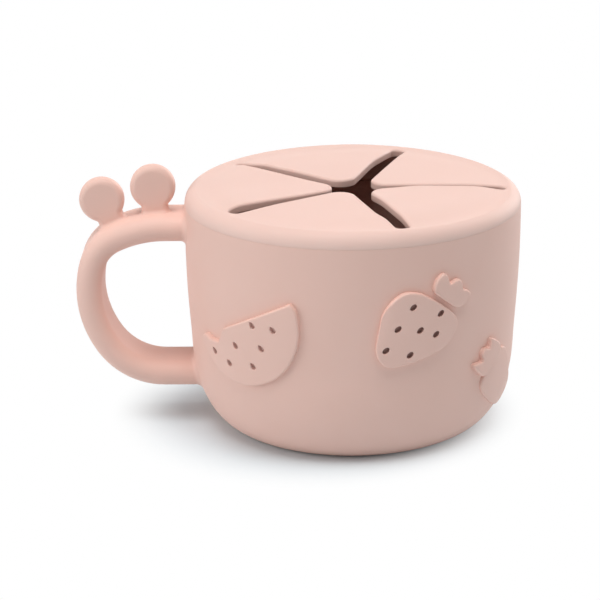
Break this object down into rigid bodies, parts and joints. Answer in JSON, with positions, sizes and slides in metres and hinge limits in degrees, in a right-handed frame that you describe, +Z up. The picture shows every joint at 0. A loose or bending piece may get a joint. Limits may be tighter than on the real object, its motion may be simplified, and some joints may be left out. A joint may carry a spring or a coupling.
{
  "type": "toddler snack cup",
  "caption": "Round silicone snack cup with a loop handle, ear discs and raised fruit, closed by a press-in lid whose flaps let a small hand reach in.",
  "frame": {"origin": "on the cup's axis at the flat underside that it stands on", "axes": "+Z up along the cup's axis, the handle towards -X, +Y away from a viewer who sees the handle on the left"},
  "size_m": [0.1242, 0.094, 0.0737],
  "materials": {
    "cup_silicone": "matte moulded silicone",
    "lid_silicone": "matte moulded silicone"
  },
  "bodies": {
    "cup": {"cup_bowl": "cup_silicone", "handle_loop": "cup_silicone", "inner_ear": "cup_silicone", "outer_ear": "cup_silicone", "melon_slice": "cup_silicone", "strawberry": "cup_silicone", "strawberry_crown": "cup_silicone", "round_fruit": "cup_silicone", "round_fruit_crown": "cup_silicone", "back_melon_slice": "cup_silicone", "back_strawberry": "cup_silicone", "back_strawberry_crown": "cup_silicone"},
    "lid": {"lid_ring": "lid_silicone"},
    "flap_1": {"lid_flap_1": "lid_silicone"},
    "flap_2": {"lid_flap_2": "lid_silicone"},
    "flap_3": {"lid_flap_3": "lid_silicone"},
    "flap_4": {"lid_flap_4": "lid_silicone"},
    "flap_5": {"lid_flap_5": "lid_silicone"}
  },
  "joints": [
    {"name": "lid_lift", "type": "slide", "parent": "cup", "child": "lid", "axis": [0, 0, 1], "range_m": [0, 0.03]},
    {"name": "flap_1_bend", "type": "hinge", "parent": "lid", "child": "flap_1", "pos_m": [0.02566, 0.01864, 0.06595], "axis": [0.5878, -0.809, 0], "range_deg": [-45, 70], "stiffness_Nm_per_rad": 0.03},
    {"name": "flap_2_bend", "type": "hinge", "parent": "lid", "child": "flap_2", "pos_m": [-0.0098, 0.03016, 0.06595], "axis": [0.9511, 0.309, 0], "range_deg": [-45, 70], "stiffness_Nm_per_rad": 0.03},
    {"name": "flap_3_bend", "type": "hinge", "parent": "lid", "child": "flap_3", "pos_m": [-0.03171, 0, 0.06595], "axis": [0, 1, 0], "range_deg": [-45, 70], "stiffness_Nm_per_rad": 0.03},
    {"name": "flap_4_bend", "type": "hinge", "parent": "lid", "child": "flap_4", "pos_m": [-0.0098, -0.03016, 0.06595], "axis": [-0.9511, 0.309, 0], "range_deg": [-45, 70], "stiffness_Nm_per_rad": 0.03},
    {"name": "flap_5_bend", "type": "hinge", "parent": "lid", "child": "flap_5", "pos_m": [0.02566, -0.01864, 0.06595], "axis": [-0.5878, -0.809, 0], "range_deg": [-45, 70], "stiffness_Nm_per_rad": 0.03}
  ]
}
